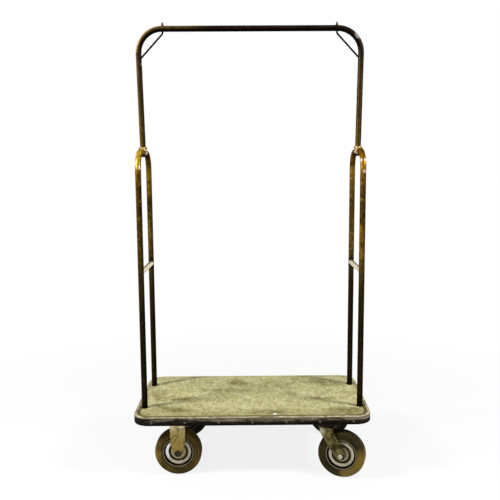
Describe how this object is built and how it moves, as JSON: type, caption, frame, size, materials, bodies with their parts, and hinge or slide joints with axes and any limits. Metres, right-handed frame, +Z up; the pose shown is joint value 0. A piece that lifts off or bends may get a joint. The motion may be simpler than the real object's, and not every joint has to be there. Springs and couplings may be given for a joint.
{
  "type": "luggage cart",
  "caption": "Hotel luggage cart: carpeted deck on rigid and swivel casters, tube loops at both ends and an arched hanger bar above.",
  "frame": {"origin": "on the floor under the middle of the deck", "axes": "+X along the deck towards the swivel casters, +Y across the deck to the rear, +Z up"},
  "size_m": [1.02, 0.5754, 1.9472],
  "materials": {
    "carpet": "cut pile, worn and stained",
    "plywood": "plain",
    "trim": "worn",
    "bumper": "scuffed",
    "screw": "dull",
    "tube": "antique, darkened by handling",
    "crossbar": "polished",
    "rod": "dark",
    "fastener": "dull zinc",
    "fork": "worn khaki gold",
    "swivel": "worn olive",
    "tyre": "dusty",
    "rim": "zinc and cream, grimy grooves",
    "steel": "oiled"
  },
  "bodies": {
    "cart": {"deck_board": "plywood", "deck_carpet": "carpet", "carpet_trim": "trim", "bumper_strip": "bumper", "bumper_screws": "screw", "left_loop": "tube", "right_loop": "tube", "left_crossbar": "crossbar", "right_crossbar": "crossbar", "hanger_frame": "tube", "left_corner_rod": "rod", "right_corner_rod": "rod", "rod_washers": "rod", "rod_cap_nuts": "rod", "left_post_saddle": "tube", "right_post_saddle": "tube", "saddle_bolts": "rod", "saddle_washers": "rod", "saddle_screws": "rod", "post_plugs": "steel", "post_bolts": "fastener", "post_washers": "fastener", "caster_bolts": "fastener", "caster_nuts": "fastener", "front_left_fork": "fork", "rear_left_fork": "fork", "rigid_axle_bolts": "fastener", "rigid_axle_nuts": "rod", "rigid_axle_sleeves": "steel", "front_right_swivel_plate": "swivel", "rear_right_swivel_plate": "swivel", "swivel_kingpins": "steel", "kingpin_washers": "steel", "kingpin_nuts": "fastener"},
    "front_right_swivel": {"front_right_fork": "swivel", "front_right_race_balls": "steel", "front_right_axle_bolt": "fastener", "front_right_axle_nut": "fastener", "front_right_axle_sleeve": "steel"},
    "rear_right_swivel": {"rear_right_fork": "swivel", "rear_right_race_balls": "steel", "rear_right_axle_bolt": "fastener", "rear_right_axle_nut": "fastener", "rear_right_axle_sleeve": "steel"},
    "front_left_wheel": {"front_left_tyre": "tyre", "front_left_rim_outer": "rim", "front_left_rim_inner": "rim", "front_left_bearing": "steel"},
    "rear_left_wheel": {"rear_left_tyre": "tyre", "rear_left_rim_outer": "rim", "rear_left_rim_inner": "rim", "rear_left_bearing": "steel"},
    "front_right_wheel": {"front_right_tyre": "tyre", "front_right_rim_outer": "rim", "front_right_rim_inner": "rim", "front_right_bearing": "steel"},
    "rear_right_wheel": {"rear_right_tyre": "tyre", "rear_right_rim_outer": "rim", "rear_right_rim_inner": "rim", "rear_right_bearing": "steel"}
  },
  "joints": [
    {"name": "front_left_wheel_spin", "type": "hinge", "parent": "cart", "child": "front_left_wheel", "pos_m": [-0.323, -0.202, 0.1015], "axis": [0, 1, 0], "continuous": true},
    {"name": "rear_left_wheel_spin", "type": "hinge", "parent": "cart", "child": "rear_left_wheel", "pos_m": [-0.323, 0.202, 0.1015], "axis": [0, 1, 0], "continuous": true},
    {"name": "front_right_swivel_turn", "type": "hinge", "parent": "cart", "child": "front_right_swivel", "pos_m": [0.323, -0.224, 0.221], "axis": [0, 0, 1], "continuous": true},
    {"name": "front_right_wheel_spin", "type": "hinge", "parent": "front_right_swivel", "child": "front_right_wheel", "pos_m": [0.38482, -0.24409, 0.1015], "axis": [0.309, 0.9511, 0], "continuous": true},
    {"name": "rear_right_swivel_turn", "type": "hinge", "parent": "cart", "child": "rear_right_swivel", "pos_m": [0.323, 0.224, 0.221], "axis": [0, 0, 1], "continuous": true},
    {"name": "rear_right_wheel_spin", "type": "hinge", "parent": "rear_right_swivel", "child": "rear_right_wheel", "pos_m": [0.38482, 0.20391, 0.1015], "axis": [0.309, 0.9511, 0], "continuous": true}
  ]
}
